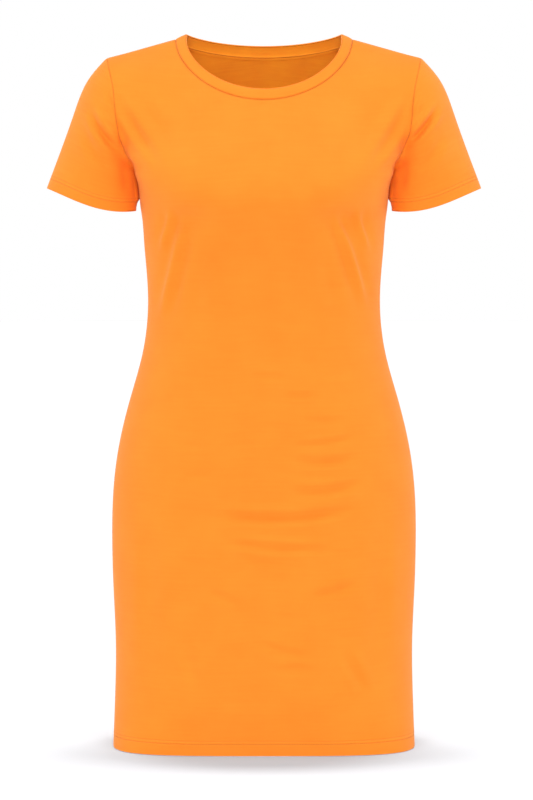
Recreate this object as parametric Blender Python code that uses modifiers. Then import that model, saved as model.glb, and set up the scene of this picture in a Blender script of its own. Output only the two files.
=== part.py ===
"""T-shirt dress of knitted cotton, filled out and hollow, as it hangs on a wearer.

Metres, +Z up. The front faces -Y and the wearer's left is +X. The origin lies midway
between the neck ends of the two shoulder seams, where the shoulders carry the dress.

The outer face of the whole dress is one coarse cage, laid through level sections, the
armholes, the neck seam and the sleeve rings. Subdivision rounds it, and the rounded
skin is then cut along the seams into its pieces, and each gets its thickness inwards.
"""

import math
from collections import namedtuple

import bmesh
import bpy
from mathutils import Vector

FRONT = -1
BACK = 1
LEFT = 1
RIGHT = -1

# Cloth and seams
JERSEY_WALL = 0.0013
NECKBAND_WALL = 0.0024
SEAM_GAP = 0.0003
MERGE_DISTANCE = 0.00001

# Body: level sections from the hem up to the bust
Section = namedtuple("Section", "height half_width front back squareness")
BODY_SECTIONS = (
    Section(-0.876, 0.1885, 0.117, 0.112, 3.70),
    Section(-0.815, 0.1865, 0.118, 0.114, 2.80),
    Section(-0.750, 0.1855, 0.119, 0.118, 2.55),
    Section(-0.685, 0.1882, 0.121, 0.123, 2.45),
    Section(-0.625, 0.1897, 0.122, 0.128, 2.40),
    Section(-0.565, 0.1885, 0.122, 0.129, 2.35),
    Section(-0.505, 0.1812, 0.120, 0.121, 2.35),
    Section(-0.445, 0.1668, 0.116, 0.106, 2.30),
    Section(-0.390, 0.1515, 0.110, 0.092, 2.30),
    Section(-0.335, 0.1446, 0.105, 0.083, 2.30),
    Section(-0.285, 0.1462, 0.110, 0.086, 2.35),
    Section(-0.235, 0.1506, 0.126, 0.094, 2.40),
    Section(-0.197, 0.1530, 0.136, 0.101, 2.40),
)

# Chest and shoulders
CHEST_HEIGHT = -0.155
CHEST_DEPTH = {FRONT: 0.127, BACK: 0.104}
CHEST_SQUARENESS = 2.1
CENTRE_BOW = {FRONT: 0.002, BACK: 0.012}
STRAP_BOW = {FRONT: (0.005, 0.004), BACK: (0.004, 0.006)}
SHOULDER_DROP = 0.023

# Armhole: how far out its seam stands, station by station from the shoulder to the underarm
ARMHOLE_OUT = (0.195, 0.193, 0.189, 0.184, 0.182, 0.177, 0.168, 0.159, 0.154)
ARMHOLE_HEIGHT = 0.144
ARMHOLE_DEPTH = {FRONT: 0.059, BACK: 0.052}

# Sleeve: rings from below the armhole to the hem. Each bows out in its lower half, and its
# front dips, more so towards the body
SleeveRing = namedtuple(
    "SleeveRing", "outer_out outer_height inner_out inner_height half_depth bow dip"
)
SLEEVE_RINGS = (
    SleeveRing(0.220, -0.053, 0.1575, -0.174, 0.0580, 0.012, 0.001),
    SleeveRing(0.236, -0.092, 0.1570, -0.185, 0.0545, 0.010, 0.002),
    SleeveRing(0.252, -0.136, 0.1555, -0.199, 0.0505, 0.007, 0.004),
    SleeveRing(0.270, -0.184, 0.1545, -0.212, 0.0465, 0.003, 0.008),
)

DIP_LEAN = 0.5

# Neck seam and neckband
NECK_HALF_WIDTH = 0.110
NECK_DEPTH = {FRONT: 0.085, BACK: 0.064}
NECK_DROP = {FRONT: 0.077, BACK: 0.0195}
NECK_SWEEP = {FRONT: 1.15, BACK: 1.35}
NECK_FULLNESS = 0.92
NECKBAND_WIDTH = 0.015
NECKBAND_LEAN = {"side": 20.0, FRONT: 69.0, BACK: 73.0}
NECKBAND_TURN = 0.6

# How many faces the cage has, and how it is evened out
UNDERARM_COLUMNS = 2
STRAP_COLUMNS = 3
NECK_COLUMNS = 4
CHEST_ROWS = 3
STRAP_ROWS = 3
COLUMNS = UNDERARM_COLUMNS + STRAP_COLUMNS + NECK_COLUMNS
STATIONS = UNDERARM_COLUMNS + CHEST_ROWS + STRAP_ROWS
NECK_CORNER = 40.0
SUBDIVISIONS = 1
FITTING_PASSES = 3
EVENING_PASSES = 3
RELAXING_PASSES = 3
RELAXING = 0.5
RELAXED_ABOVE = -0.140
CREASED_ABOVE = -0.150

# Pieces: a piece's place in this list is its faces' material slot in the cage
PIECES = ("front_panel", "back_panel", "sleeve_left", "sleeve_right", "neckband")
ORANGE = (0.96, 0.32, 0.035, 1.0)
JERSEY_ROUGHNESS = 0.85
SHARP_ANGLE = math.radians(50.0)


def body_point(section, column, side, facing):
    """Point of a level section, with column 0 on the side seam and the last on the centre line."""
    turn = math.radians(90.0) * column / COLUMNS
    depth = section.front if facing == FRONT else section.back
    power = 2.0 / section.squareness
    return Vector(
        (
            side * section.half_width * math.cos(turn) ** power,
            facing * depth * math.sin(turn) ** power,
            section.height,
        )
    )


def armhole_point(station, side, facing):
    """Point of the armhole seam, with station 0 on the shoulder and the last under the arm."""
    turn = math.pi * station / STATIONS
    half = ARMHOLE_HEIGHT / 2.0
    return Vector(
        (
            side * ARMHOLE_OUT[station],
            facing * ARMHOLE_DEPTH[facing] * math.sin(turn),
            -SHOULDER_DROP - half + half * math.cos(turn),
        )
    )


def neck_turn(step):
    """Angle in degrees round the neck seam, from the shoulder, of one of its points."""
    if step <= STRAP_ROWS:
        return NECK_CORNER * step / STRAP_ROWS
    return NECK_CORNER + (90.0 - NECK_CORNER) * (step - STRAP_ROWS) / NECK_COLUMNS


def neck_point(step, side, facing):
    """Point of the neck seam, with step 0 on the shoulder and the last on the centre line."""
    turn = math.radians(neck_turn(step))
    return Vector(
        (
            side * NECK_HALF_WIDTH * math.cos(turn),
            facing * NECK_DEPTH[facing] * math.sin(turn) ** NECK_FULLNESS,
            -NECK_DROP[facing] * math.sin(turn) ** NECK_SWEEP[facing],
        )
    )


def neckband_point(step, side, facing):
    """Point of the neckband's top edge, above the same point of the neck seam."""
    turn = math.radians(neck_turn(step))
    towards_centre = math.sin(turn) ** NECKBAND_TURN
    side_lean = NECKBAND_LEAN["side"]
    lean = math.radians(side_lean + (NECKBAND_LEAN[facing] - side_lean) * towards_centre)
    inward = NECKBAND_WIDTH * math.cos(lean)
    rise = NECKBAND_WIDTH * math.sin(lean)
    step_in = Vector((-side * math.cos(turn), -facing * math.sin(turn), 0.0)).normalized()
    return neck_point(step, side, facing) + step_in * inward + Vector((0.0, 0.0, rise))


def chest_point(column, side, facing):
    """Point of the line round the chest that meets the lower corner of the armhole."""
    if column <= UNDERARM_COLUMNS:
        return armhole_point(STATIONS - column, side, facing)
    corner = armhole_point(STATIONS - UNDERARM_COLUMNS, side, facing)
    turn = math.radians(90.0) * (column - UNDERARM_COLUMNS) / (COLUMNS - UNDERARM_COLUMNS)
    power = 2.0 / CHEST_SQUARENESS
    ahead = math.sin(turn) ** power
    return Vector(
        (
            corner.x * math.cos(turn) ** power,
            corner.y + (facing * CHEST_DEPTH[facing] - corner.y) * ahead,
            corner.z + (CHEST_HEIGHT - corner.z) * ahead,
        )
    )


def sleeve_point(ring, station, side, facing):
    """Point of a sleeve ring, with station 0 on its outer line and the last on its inner line."""
    turn = math.pi * station / STATIONS
    outer = Vector((ring.outer_out, 0.0, ring.outer_height))
    inner = Vector((ring.inner_out, 0.0, ring.inner_height))
    point = (outer + inner) / 2.0 + (outer - inner) / 2.0 * math.cos(turn)
    point.x += ring.bow * math.sin(turn) ** 2 * (1.0 - math.cos(turn))
    point.y = facing * ring.half_depth * math.sin(turn)
    if facing == FRONT:
        towards_body = 1.0 - DIP_LEAN * math.cos(turn)
        point.z -= ring.dip * math.sin(turn) ** 2 * towards_body
    point.x *= side
    return point


def bowed_line(start, end, steps, bow):
    """Points from start to end that swell along bow in the middle."""
    points = []
    for step in range(steps + 1):
        share = step / steps
        points.append(start.lerp(end, share) + bow * math.sin(math.pi * share))
    return points


def filled_patch(bottom, top, left, right):
    """Rows of points that fill the space between four edges."""
    across = len(bottom) - 1
    up = len(left) - 1
    rows = []
    for row in range(up + 1):
        v = row / up
        points = []
        for column in range(across + 1):
            u = column / across
            between_rows = bottom[column].lerp(top[column], v)
            between_columns = left[row].lerp(right[row], u)
            corners = bottom[0].lerp(bottom[-1], u).lerp(top[0].lerp(top[-1], u), v)
            points.append(between_rows + between_columns - corners)
        rows.append(points)
    return rows


def add_patch(cage, rows, piece):
    """Add a grid through rows of points, as faces of one piece."""
    across = len(rows[0]) - 1
    grid = bmesh.ops.create_grid(cage, x_segments=across, y_segments=len(rows) - 1, size=1.0)
    for index, vertex in enumerate(grid["verts"]):
        vertex.co = rows[index // (across + 1)][index % (across + 1)]
    for vertex in grid["verts"]:
        for face in vertex.link_faces:
            face.material_index = PIECES.index(piece)


def add_body_quarter(cage, side, facing):
    """Half of the front or of the back, from the hem to the shoulder seam and the neck seam."""
    panel = "front_panel" if facing == FRONT else "back_panel"
    rows = []
    for section in BODY_SECTIONS:
        rows.append([body_point(section, column, side, facing) for column in range(COLUMNS + 1)])
    rows.append([chest_point(column, side, facing) for column in range(COLUMNS + 1)])
    add_patch(cage, rows, panel)

    corner_station = STATIONS - UNDERARM_COLUMNS
    armhole = [armhole_point(corner_station - row, side, facing) for row in range(corner_station + 1)]
    neck = [neck_point(step, side, facing) for step in range(STRAP_ROWS + NECK_COLUMNS + 1)]
    out, up = STRAP_BOW[facing]
    strap_line = bowed_line(
        armhole[CHEST_ROWS], neck[STRAP_ROWS], STRAP_COLUMNS, Vector((0.0, facing * out, up))
    )
    chest_line = rows[-1][UNDERARM_COLUMNS:]
    centre_line = bowed_line(
        chest_line[-1], neck[-1], CHEST_ROWS, Vector((0.0, facing * CENTRE_BOW[facing], 0.0))
    )
    chest_top = strap_line + neck[STRAP_ROWS + 1 :]
    chest = filled_patch(chest_line, chest_top, armhole[: CHEST_ROWS + 1], centre_line)
    add_patch(cage, chest, panel)

    shoulder = bowed_line(armhole[-1], neck[0], STRAP_COLUMNS, Vector((0.0, 0.0, 0.0)))
    neck_side = list(reversed(neck[: STRAP_ROWS + 1]))
    strap = filled_patch(strap_line, shoulder, armhole[CHEST_ROWS:], neck_side)
    add_patch(cage, strap, panel)


def add_sleeve_half(cage, side, facing):
    """Front or back half of one sleeve, from the armhole seam to its hem."""
    rows = [[armhole_point(station, side, facing) for station in range(STATIONS + 1)]]
    for ring in SLEEVE_RINGS:
        rows.append([sleeve_point(ring, station, side, facing) for station in range(STATIONS + 1)])
    add_patch(cage, rows, "sleeve_left" if side == LEFT else "sleeve_right")


def add_neckband_quarter(cage, side, facing):
    """Quarter of the neckband, from the neck seam to its folded top edge."""
    steps = range(STRAP_ROWS + NECK_COLUMNS + 1)
    seam = [neck_point(step, side, facing) for step in steps]
    edge = [neckband_point(step, side, facing) for step in steps]
    add_patch(cage, [seam, edge], "neckband")


def crease_seams(cage):
    """Let the neck seam and the armholes above the underarm run as curves of their own."""
    crease = cage.edges.layers.float.new("crease_edge")
    panels = {PIECES.index("front_panel"), PIECES.index("back_panel")}
    for edge in cage.edges:
        pieces = {face.material_index for face in edge.link_faces}
        sewn_to_panel = len(pieces) == 2 and pieces != panels
        if sewn_to_panel and min(vertex.co.z for vertex in edge.verts) > CREASED_ABOVE:
            edge[crease] = 1.0


def relax_chest(cage):
    """Even out the points of the panels above the bust, with the seams held."""
    free = []
    for vertex in cage.verts:
        pieces = {face.material_index for face in vertex.link_faces}
        on_panel = pieces == {PIECES.index("front_panel")} or pieces == {PIECES.index("back_panel")}
        if on_panel and vertex.co.z > RELAXED_ABOVE:
            free.append(vertex)
    for _ in range(RELAXING_PASSES):
        bmesh.ops.smooth_vert(
            cage, verts=free, factor=RELAXING, use_axis_x=True, use_axis_y=True, use_axis_z=True
        )


def make_cage():
    """Object with the coarse skin of the whole dress, under a Subdivision Surface."""
    cage = bmesh.new()
    for side in (LEFT, RIGHT):
        for facing in (FRONT, BACK):
            add_body_quarter(cage, side, facing)
            add_sleeve_half(cage, side, facing)
            add_neckband_quarter(cage, side, facing)
    bmesh.ops.remove_doubles(cage, verts=cage.verts[:], dist=MERGE_DISTANCE)
    bmesh.ops.recalc_face_normals(cage, faces=cage.faces[:])
    crease_seams(cage)
    relax_chest(cage)
    mesh = bpy.data.meshes.new("dress_cage")
    cage.to_mesh(mesh)
    cage.free()
    dress = bpy.data.objects.new("dress_cage", mesh)
    bpy.context.scene.collection.objects.link(dress)
    rounding = dress.modifiers.new("rounding", "SUBSURF")
    rounding.levels = SUBDIVISIONS
    rounding.render_levels = SUBDIVISIONS
    return dress


def rounded_mesh(dress):
    """New mesh of the cage as its modifier rounds it."""
    bpy.context.view_layer.update()
    graph = bpy.context.evaluated_depsgraph_get()
    return bpy.data.meshes.new_from_object(dress.evaluated_get(graph))


def fit_cage(dress):
    """Move the cage out until its rounded skin passes through the points it was laid on."""
    wanted = [vertex.co.copy() for vertex in dress.data.vertices]
    for _ in range(FITTING_PASSES):
        skin = rounded_mesh(dress)
        for vertex, target in zip(dress.data.vertices, wanted):
            vertex.co += target - skin.vertices[vertex.index].co
        bpy.data.meshes.remove(skin)
        dress.data.update()


def make_material(name):
    """Orange cotton jersey."""
    material = bpy.data.materials.new(name + "_jersey")
    material.use_nodes = True
    shader = material.node_tree.nodes["Principled BSDF"]
    shader.inputs["Base Color"].default_value = ORANGE
    shader.inputs["Roughness"].default_value = JERSEY_ROUGHNESS
    shader.inputs["Metallic"].default_value = 0.0
    return material


def mark_outward(piece):
    """Store which way is out at each point, evened out so that neighbouring walls don't twist."""
    piece.normal_update()
    outward = piece.verts.layers.float_vector.new("outward")
    directions = [vertex.normal.copy() for vertex in piece.verts]
    for _ in range(EVENING_PASSES):
        evened = []
        for vertex in piece.verts:
            total = directions[vertex.index].copy()
            for edge in vertex.link_edges:
                total += directions[edge.other_vert(vertex).index]
            evened.append(total.normalized())
        directions = evened
    for vertex in piece.verts:
        vertex[outward] = directions[vertex.index]
    return outward


def cut_piece(skin, name, wall):
    """One piece of the skin, cut half a seam gap inside its outline and thickened inwards."""
    piece = bmesh.new()
    piece.from_mesh(skin)
    outward = mark_outward(piece)
    others = [face for face in piece.faces if face.material_index != PIECES.index(name)]
    bmesh.ops.delete(piece, geom=others, context="FACES")
    rim = bmesh.ops.inset_region(
        piece,
        faces=piece.faces[:],
        use_boundary=True,
        use_even_offset=True,
        thickness=SEAM_GAP / 2.0,
    )
    bmesh.ops.delete(piece, geom=rim["faces"], context="FACES")
    inside = bmesh.ops.extrude_face_region(piece, geom=piece.faces[:], use_keep_orig=True)
    for vertex in inside["geom"]:
        if isinstance(vertex, bmesh.types.BMVert):
            vertex.co -= Vector(vertex[outward]) * wall
    bmesh.ops.recalc_face_normals(piece, faces=piece.faces[:])
    for face in piece.faces:
        face.material_index = 0
    mesh = bpy.data.meshes.new(name)
    piece.to_mesh(mesh)
    piece.free()
    mesh.materials.clear()
    mesh.materials.append(make_material(name))
    mesh.shade_smooth()
    mesh.set_sharp_from_angle(angle=SHARP_ANGLE)
    return bpy.data.objects.new(name, mesh)


def build_dress():
    """Build the five pieces in a collection of their own."""
    for old in list(bpy.data.objects):
        bpy.data.objects.remove(old)
    dress = bpy.data.collections.new("t_shirt_dress")
    bpy.context.scene.collection.children.link(dress)
    cage = make_cage()
    fit_cage(cage)
    skin = rounded_mesh(cage)
    for name in PIECES:
        wall = NECKBAND_WALL if name == "neckband" else JERSEY_WALL
        dress.objects.link(cut_piece(skin, name, wall))
    bpy.data.meshes.remove(skin)
    bpy.data.objects.remove(cage)


build_dress()
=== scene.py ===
"""T-shirt dress in orange cotton jersey, filled out as on a wearer, with nobody in it."""

import math
from collections import namedtuple

import bmesh
import bpy
import numpy as np
from mathutils import Matrix, Vector
from mathutils.bvhtree import BVHTree
from mathutils.kdtree import KDTree


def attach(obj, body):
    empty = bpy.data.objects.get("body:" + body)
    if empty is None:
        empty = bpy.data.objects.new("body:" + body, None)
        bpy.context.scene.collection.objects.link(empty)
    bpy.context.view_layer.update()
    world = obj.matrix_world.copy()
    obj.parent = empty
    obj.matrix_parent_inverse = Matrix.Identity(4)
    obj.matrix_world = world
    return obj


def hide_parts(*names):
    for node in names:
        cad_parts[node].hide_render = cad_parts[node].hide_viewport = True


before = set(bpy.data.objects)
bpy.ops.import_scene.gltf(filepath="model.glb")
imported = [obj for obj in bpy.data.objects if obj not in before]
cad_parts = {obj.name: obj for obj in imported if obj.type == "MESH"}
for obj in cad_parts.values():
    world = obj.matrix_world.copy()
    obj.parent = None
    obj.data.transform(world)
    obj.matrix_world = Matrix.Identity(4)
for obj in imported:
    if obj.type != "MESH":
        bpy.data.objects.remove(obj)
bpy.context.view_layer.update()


# ---------------------------------------------------------------------------
# The form of the dress
# All five cut pieces lie on one smooth skin, the shape that the sewn dress takes when it
# is filled out. It is laid through the same level sections, armholes, neck seam and sleeve
# rings as the solids, and each piece is cut from it further down.

FRONT, BACK = -1, 1
LEFT, RIGHT = 1, -1
PIECES = ("front_panel", "back_panel", "sleeve_left", "sleeve_right", "neckband")

Section = namedtuple("Section", "height half_width front back squareness")
BODY_SECTIONS = (
    Section(-0.876, 0.1885, 0.117, 0.112, 3.70),
    Section(-0.815, 0.1865, 0.118, 0.114, 2.80),
    Section(-0.750, 0.1855, 0.119, 0.118, 2.55),
    Section(-0.685, 0.1882, 0.121, 0.123, 2.45),
    Section(-0.625, 0.1897, 0.122, 0.128, 2.40),
    Section(-0.565, 0.1885, 0.122, 0.129, 2.35),
    Section(-0.505, 0.1812, 0.120, 0.121, 2.35),
    Section(-0.445, 0.1668, 0.116, 0.106, 2.30),
    Section(-0.390, 0.1515, 0.110, 0.092, 2.30),
    Section(-0.335, 0.1446, 0.105, 0.083, 2.30),
    Section(-0.285, 0.1462, 0.110, 0.086, 2.35),
    Section(-0.235, 0.1506, 0.126, 0.094, 2.40),
    Section(-0.197, 0.1530, 0.136, 0.101, 2.40),
)
CHEST_HEIGHT = -0.155
CHEST_DEPTH = {FRONT: 0.127, BACK: 0.104}
CHEST_SQUARENESS = 2.1
CENTRE_BOW = {FRONT: 0.002, BACK: 0.012}
STRAP_BOW = {FRONT: (0.005, 0.004), BACK: (0.004, 0.006)}
SHOULDER_DROP = 0.023
ARMHOLE_OUT = (0.195, 0.193, 0.189, 0.184, 0.182, 0.177, 0.168, 0.159, 0.154)
ARMHOLE_HEIGHT = 0.144
ARMHOLE_DEPTH = {FRONT: 0.059, BACK: 0.052}

SleeveRing = namedtuple(
    "SleeveRing", "outer_out outer_height inner_out inner_height half_depth bow dip"
)
SLEEVE_RINGS = (
    SleeveRing(0.220, -0.053, 0.1575, -0.174, 0.0580, 0.012, 0.001),
    SleeveRing(0.236, -0.092, 0.1570, -0.185, 0.0545, 0.010, 0.002),
    SleeveRing(0.252, -0.136, 0.1555, -0.199, 0.0505, 0.007, 0.004),
    SleeveRing(0.270, -0.184, 0.1545, -0.212, 0.0465, 0.003, 0.008),
)
DIP_LEAN = 0.5

NECK_HALF_WIDTH = 0.110
NECK_DEPTH = {FRONT: 0.085, BACK: 0.064}
NECK_DROP = {FRONT: 0.077, BACK: 0.0195}
NECK_SWEEP = {FRONT: 1.15, BACK: 1.35}
NECK_FULLNESS = 0.92
NECKBAND_WIDTH = 0.015
NECKBAND_LEAN = {"side": 20.0, FRONT: 69.0, BACK: 73.0}
NECKBAND_TURN = 0.6

UNDERARM_COLUMNS = 2
STRAP_COLUMNS = 3
NECK_COLUMNS = 4
CHEST_ROWS = 3
STRAP_ROWS = 3
COLUMNS = UNDERARM_COLUMNS + STRAP_COLUMNS + NECK_COLUMNS
STATIONS = UNDERARM_COLUMNS + CHEST_ROWS + STRAP_ROWS
NECK_STEPS = STRAP_ROWS + NECK_COLUMNS
NECK_CORNER = 40.0
MERGE_DISTANCE = 0.00001
CREASED_ABOVE = -0.150
RELAXED_ABOVE = -0.140
RELAXING_PASSES = 3
RELAXING = 0.5
FITTING_PASSES = 3
PANEL_FINENESS = 3
FINE_FINENESS = 4


def body_point(section, column, side, facing):
    turn = math.radians(90.0) * column / COLUMNS
    depth = section.front if facing == FRONT else section.back
    power = 2.0 / section.squareness
    out = section.half_width * math.cos(turn) ** power
    return Vector((side * out, facing * depth * math.sin(turn) ** power, section.height))


def armhole_point(station, side, facing):
    turn = math.pi * station / STATIONS
    half = ARMHOLE_HEIGHT / 2.0
    height = -SHOULDER_DROP - half + half * math.cos(turn)
    ahead = facing * ARMHOLE_DEPTH[facing] * math.sin(turn)
    return Vector((side * ARMHOLE_OUT[station], ahead, height))


def neck_turn(step):
    if step <= STRAP_ROWS:
        return math.radians(NECK_CORNER * step / STRAP_ROWS)
    return math.radians(NECK_CORNER + (90.0 - NECK_CORNER) * (step - STRAP_ROWS) / NECK_COLUMNS)


def neck_point(step, side, facing):
    turn = neck_turn(step)
    return Vector(
        (
            side * NECK_HALF_WIDTH * math.cos(turn),
            facing * NECK_DEPTH[facing] * math.sin(turn) ** NECK_FULLNESS,
            -NECK_DROP[facing] * math.sin(turn) ** NECK_SWEEP[facing],
        )
    )


def neckband_point(step, side, facing):
    turn = neck_turn(step)
    side_lean = NECKBAND_LEAN["side"]
    towards_centre = math.sin(turn) ** NECKBAND_TURN
    lean = math.radians(side_lean + (NECKBAND_LEAN[facing] - side_lean) * towards_centre)
    step_in = Vector((-side * math.cos(turn), -facing * math.sin(turn), 0.0)).normalized()
    rise = Vector((0.0, 0.0, NECKBAND_WIDTH * math.sin(lean)))
    return neck_point(step, side, facing) + step_in * NECKBAND_WIDTH * math.cos(lean) + rise


def chest_point(column, side, facing):
    if column <= UNDERARM_COLUMNS:
        return armhole_point(STATIONS - column, side, facing)
    corner = armhole_point(STATIONS - UNDERARM_COLUMNS, side, facing)
    turn = math.radians(90.0) * (column - UNDERARM_COLUMNS) / (COLUMNS - UNDERARM_COLUMNS)
    power = 2.0 / CHEST_SQUARENESS
    ahead = math.sin(turn) ** power
    return Vector(
        (
            corner.x * math.cos(turn) ** power,
            corner.y + (facing * CHEST_DEPTH[facing] - corner.y) * ahead,
            corner.z + (CHEST_HEIGHT - corner.z) * ahead,
        )
    )


def sleeve_point(ring, station, side, facing):
    turn = math.pi * station / STATIONS
    outer = Vector((ring.outer_out, 0.0, ring.outer_height))
    inner = Vector((ring.inner_out, 0.0, ring.inner_height))
    point = (outer + inner) / 2.0 + (outer - inner) / 2.0 * math.cos(turn)
    point.x += ring.bow * math.sin(turn) ** 2 * (1.0 - math.cos(turn))
    point.y = facing * ring.half_depth * math.sin(turn)
    if facing == FRONT:
        point.z -= ring.dip * math.sin(turn) ** 2 * (1.0 - DIP_LEAN * math.cos(turn))
    point.x *= side
    return point


def bowed_line(start, end, steps, bow=Vector()):
    shares = [step / steps for step in range(steps + 1)]
    return [start.lerp(end, share) + bow * math.sin(math.pi * share) for share in shares]


def filled_patch(bottom, top, left, right):
    across, up = len(bottom) - 1, len(left) - 1
    rows = []
    for row in range(up + 1):
        v = row / up
        points = []
        for column in range(across + 1):
            u = column / across
            between_rows = bottom[column].lerp(top[column], v)
            between_columns = left[row].lerp(right[row], u)
            corners = bottom[0].lerp(bottom[-1], u).lerp(top[0].lerp(top[-1], u), v)
            points.append(between_rows + between_columns - corners)
        rows.append(points)
    return rows


def lengths_along(points, start=0.0):
    """Distance along the cloth to each point of a line."""
    lengths = [start]
    for here, there in zip(points, points[1:]):
        lengths.append(lengths[-1] + (there - here).length)
    return lengths


def heights_up(rows, starts):
    """Distance up the cloth to each point, column by column."""
    columns = [lengths_along(column, start) for column, start in zip(zip(*rows), starts)]
    return list(zip(*columns))


def add_patch(cage, rows, across, up, piece):
    """A grid through rows of points. Its UV is metres across and up the cloth."""
    count = len(rows[0])
    grid = bmesh.ops.create_grid(cage, x_segments=count - 1, y_segments=len(rows) - 1, size=1.0)
    place = {}
    for index, vertex in enumerate(grid["verts"]):
        place[vertex] = divmod(index, count)
        vertex.co = rows[index // count][index % count]
    cloth = cage.loops.layers.uv["UVMap"]
    for face in {face for vertex in grid["verts"] for face in vertex.link_faces}:
        face.material_index = PIECES.index(piece)
        for loop in face.loops:
            row, column = place[loop.vert]
            loop[cloth].uv = across[row][column], up[row][column]


def add_body_quarter(cage, side, facing):
    panel = "front_panel" if facing == FRONT else "back_panel"
    rows = [
        [body_point(section, column, side, facing) for column in range(COLUMNS + 1)]
        for section in BODY_SECTIONS
    ]
    rows.append([chest_point(column, side, facing) for column in range(COLUMNS + 1)])
    across = [[side * u for u in reversed(lengths_along(row[::-1]))] for row in rows]
    up = heights_up(rows, [0.0] * (COLUMNS + 1))
    add_patch(cage, rows, across, up, panel)

    corner = STATIONS - UNDERARM_COLUMNS
    armhole = [armhole_point(corner - row, side, facing) for row in range(corner + 1)]
    neck = [neck_point(step, side, facing) for step in range(NECK_STEPS + 1)]
    out, rise = STRAP_BOW[facing]
    strap_line = bowed_line(
        armhole[CHEST_ROWS], neck[STRAP_ROWS], STRAP_COLUMNS, Vector((0.0, facing * out, rise))
    )
    chest_line = rows[-1][UNDERARM_COLUMNS:]
    bow = Vector((0.0, facing * CENTRE_BOW[facing], 0.0))
    centre_line = bowed_line(chest_line[-1], neck[-1], CHEST_ROWS, bow)
    chest_top = strap_line + neck[STRAP_ROWS + 1 :]
    chest = filled_patch(chest_line, chest_top, armhole[: CHEST_ROWS + 1], centre_line)
    wales = across[-1][UNDERARM_COLUMNS:]
    up = heights_up(chest, up[-1][UNDERARM_COLUMNS:])
    add_patch(cage, chest, [wales] * len(chest), up, panel)

    shoulder = bowed_line(armhole[-1], neck[0], STRAP_COLUMNS)
    neck_side = neck[STRAP_ROWS::-1]
    strap = filled_patch(strap_line, shoulder, armhole[CHEST_ROWS:], neck_side)
    up = heights_up(strap, up[-1])
    add_patch(cage, strap, [wales] * len(strap), up, panel)


def add_sleeve_half(cage, side, facing):
    rows = [[armhole_point(station, side, facing) for station in range(STATIONS + 1)]]
    for ring in SLEEVE_RINGS:
        rows.append([sleeve_point(ring, station, side, facing) for station in range(STATIONS + 1)])
    rows.reverse()
    across = [[facing * u for u in lengths_along(row)] for row in rows]
    up = heights_up(rows, [0.0] * (STATIONS + 1))
    add_patch(cage, rows, across, up, "sleeve_left" if side == LEFT else "sleeve_right")


def add_neckband_quarter(cage, side, facing):
    steps = range(NECK_STEPS + 1)
    rows = [
        [neck_point(step, side, facing) for step in steps],
        [neckband_point(step, side, facing) for step in steps],
    ]
    across = [lengths_along(rows[0])] * 2
    add_patch(cage, rows, across, heights_up(rows, [0.0] * len(steps)), "neckband")


cage = bmesh.new()
cage.loops.layers.uv.new("UVMap")
for side in (LEFT, RIGHT):
    for facing in (FRONT, BACK):
        add_body_quarter(cage, side, facing)
        add_sleeve_half(cage, side, facing)
        add_neckband_quarter(cage, side, facing)
bmesh.ops.remove_doubles(cage, verts=cage.verts[:], dist=MERGE_DISTANCE)
bmesh.ops.recalc_face_normals(cage, faces=cage.faces[:])

# The armhole and neck seams stay sharp above the underarm, and the cloth of the chest
# and shoulders evens out between them.
crease = cage.edges.layers.float.new("crease_edge")
panels = {PIECES.index("front_panel"), PIECES.index("back_panel")}
for edge in cage.edges:
    pieces = {face.material_index for face in edge.link_faces}
    lowest = min(vertex.co.z for vertex in edge.verts)
    if len(pieces) == 2 and pieces != panels and lowest > CREASED_ABOVE:
        edge[crease] = 1.0
chest_points = []
for vertex in cage.verts:
    pieces = {face.material_index for face in vertex.link_faces}
    if len(pieces) == 1 and pieces <= panels and vertex.co.z > RELAXED_ABOVE:
        chest_points.append(vertex)
for _ in range(RELAXING_PASSES):
    bmesh.ops.smooth_vert(
        cage,
        verts=chest_points,
        factor=RELAXING,
        use_axis_x=True,
        use_axis_y=True,
        use_axis_z=True,
    )
form_mesh = bpy.data.meshes.new("dress_form")
cage.to_mesh(form_mesh)
cage.free()
form = bpy.data.objects.new("dress_form", form_mesh)
bpy.context.scene.collection.objects.link(form)
rounding = form.modifiers.new("rounding", "SUBSURF")


def rounded_form(fineness):
    rounding.levels = rounding.render_levels = fineness
    bpy.context.view_layer.update()
    graph = bpy.context.evaluated_depsgraph_get()
    return bpy.data.meshes.new_from_object(form.evaluated_get(graph))


# Rounding draws a form in, so its points move out until the round one passes through
# the places they were laid at.
laid = [vertex.co.copy() for vertex in form_mesh.vertices]
for _ in range(FITTING_PASSES):
    skin = rounded_form(1)
    for vertex, point in zip(form_mesh.vertices, laid):
        vertex.co += point - skin.vertices[vertex.index].co
    bpy.data.meshes.remove(skin)
    form_mesh.update()

panel_skin = rounded_form(PANEL_FINENESS)
fine_skin = rounded_form(FINE_FINENESS)
bpy.data.objects.remove(form)


# ---------------------------------------------------------------------------
# Front and back panels
# Two pieces of plain cotton jersey, cut in one from shoulder to hem, sewn to each other at
# the sides and shoulders. The lower edge is turned up inside by 21 mm and held by a
# twin-needle row.

SEAM_GAP = 0.00014
CLOTH = 0.0011
TURNED_UP = 0.0020
TURN_UP_HEIGHT = 0.021
ROLLED = 0.0011
EDGE_ROUND = 0.00035
SEAM_DIP = 0.0004
SEAM_REACH = 0.0016
SEAM_SEARCH = 0.06
ROW_HEIGHTS = (0.0150, 0.0190)
HEM_FLAT = 0.018
HEM_EASE = 0.030
PANEL_EVENINGS = 4
FINE_EVENINGS = 16
BELOW_SLEEVES = -0.19
STEEP = 0.7
LONG_EDGE = 0.0021

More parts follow.
